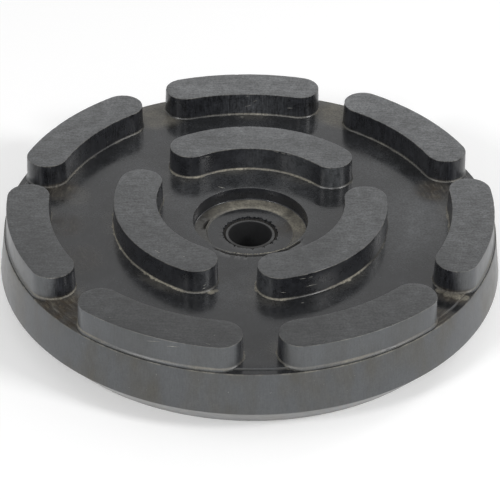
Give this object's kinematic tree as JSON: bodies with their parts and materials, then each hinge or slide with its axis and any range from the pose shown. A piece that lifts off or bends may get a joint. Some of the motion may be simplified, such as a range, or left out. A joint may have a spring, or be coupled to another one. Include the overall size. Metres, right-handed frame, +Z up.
{
  "type": "lift arm rubber pad",
  "caption": "Round moulded rubber pad for a vehicle lift arm, with raised kidney-shaped grip blocks around a recessed screw hole.",
  "frame": {"origin": "centre of the flat underside, on the axis of the screw hole", "axes": "+Z up along the screw hole, towards the grip blocks; +Y towards the outer block that is at the back in the picture"},
  "size_m": [0.15, 0.15, 0.0291],
  "materials": {
    "black_rubber": "satin moulded rubber"
  },
  "bodies": {
    "root": {"rubber_pad": "black_rubber"}
  },
  "joints": []
}
